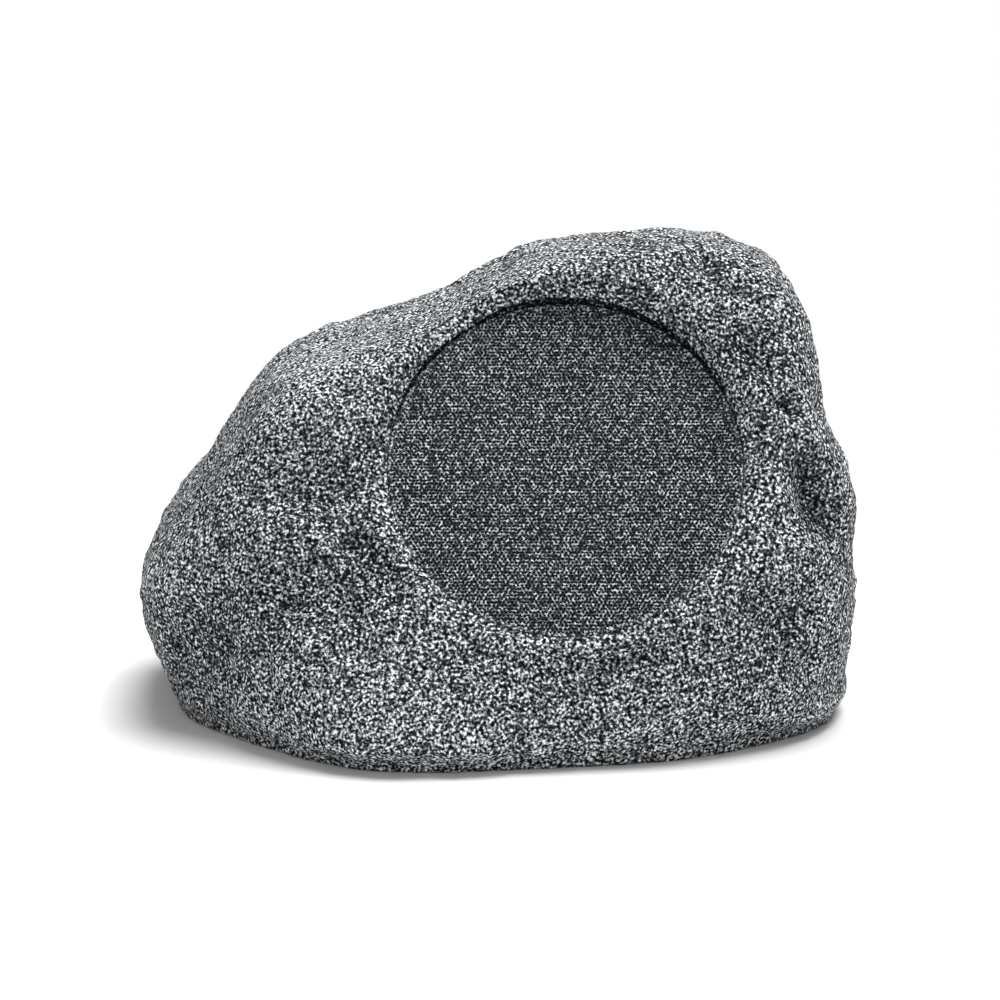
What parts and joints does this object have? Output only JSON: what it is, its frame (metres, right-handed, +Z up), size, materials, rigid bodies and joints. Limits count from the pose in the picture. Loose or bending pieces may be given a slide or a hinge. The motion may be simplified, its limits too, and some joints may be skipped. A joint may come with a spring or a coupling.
{
  "type": "rock shaped garden speaker",
  "caption": "Garden loudspeaker in a hollow moulded boulder, with a round perforated grille set in its sloping front, a two-way driver, a closed base and a cable gland at the back.",
  "frame": {"origin": "middle of the footprint's box, on the floor", "axes": "+Z up, +Y to the back, the grille faces -Y and up"},
  "size_m": [0.3701, 0.2962, 0.2471],
  "materials": {
    "moulded_stone": "matte",
    "speckled_steel": "matte",
    "scrim_cloth": "matte",
    "foam_rubber": "matte",
    "frame_polymer": "satin",
    "cone_polymer": "satin",
    "coil_former": "satin",
    "copper_wire": "satin",
    "spider_cloth": "matte",
    "zinc_steel": "satin",
    "ferrite": "matte",
    "screw_steel": "satin",
    "fibre_board": "matte",
    "dome_film": "satin",
    "circuit_board": "satin",
    "capacitor_film": "gloss",
    "resistor_cement": "matte",
    "terminal_green": "satin",
    "lead_insulation": "satin",
    "base_polymer": "matte",
    "gland_nylon": "satin"
  },
  "bodies": {
    "cabinet": {"rock_shell": "moulded_stone", "grille": "speckled_steel", "grille_scrim": "scrim_cloth", "woofer_gasket": "foam_rubber", "woofer_basket": "frame_polymer", "woofer_screws": "screw_steel", "woofer_surround": "foam_rubber", "woofer_spider": "spider_cloth", "woofer_top_plate": "zinc_steel", "woofer_magnet": "ferrite", "woofer_pole_yoke": "zinc_steel", "woofer_terminal_strip": "fibre_board", "woofer_terminal_lugs": "zinc_steel", "tweeter_bridge": "frame_polymer", "bridge_screws": "screw_steel", "tweeter_cup": "frame_polymer", "tweeter_pot": "zinc_steel", "tweeter_magnet": "ferrite", "tweeter_pole": "zinc_steel", "tweeter_coil": "copper_wire", "tweeter_dome": "dome_film", "tweeter_face_ring": "frame_polymer", "crossover_board": "circuit_board", "board_screws": "screw_steel", "inductor_bobbin": "frame_polymer", "inductor_winding": "copper_wire", "tweeter_capacitor": "capacitor_film", "tweeter_resistor": "resistor_cement", "input_terminal_block": "terminal_green", "woofer_leads": "lead_insulation", "tweeter_leads": "lead_insulation", "base_plate": "base_polymer", "base_gasket": "foam_rubber", "base_screws": "screw_steel", "gland_body": "gland_nylon", "gland_washer": "foam_rubber", "gland_locknut": "gland_nylon", "gland_seal": "foam_rubber", "gland_dome_nut": "gland_nylon"},
    "cone_assembly": {"woofer_cone": "cone_polymer", "woofer_dust_cap": "cone_polymer", "voice_coil_former": "coil_former", "voice_coil_winding": "copper_wire"}
  },
  "joints": [
    {"name": "cone_slide", "type": "slide", "parent": "cabinet", "child": "cone_assembly", "axis": [0, -0.848, 0.5299], "range_m": [-0.004, 0.004], "stiffness_N_per_m": 1500, "deforming": ["woofer_surround", "woofer_spider"]}
  ]
}
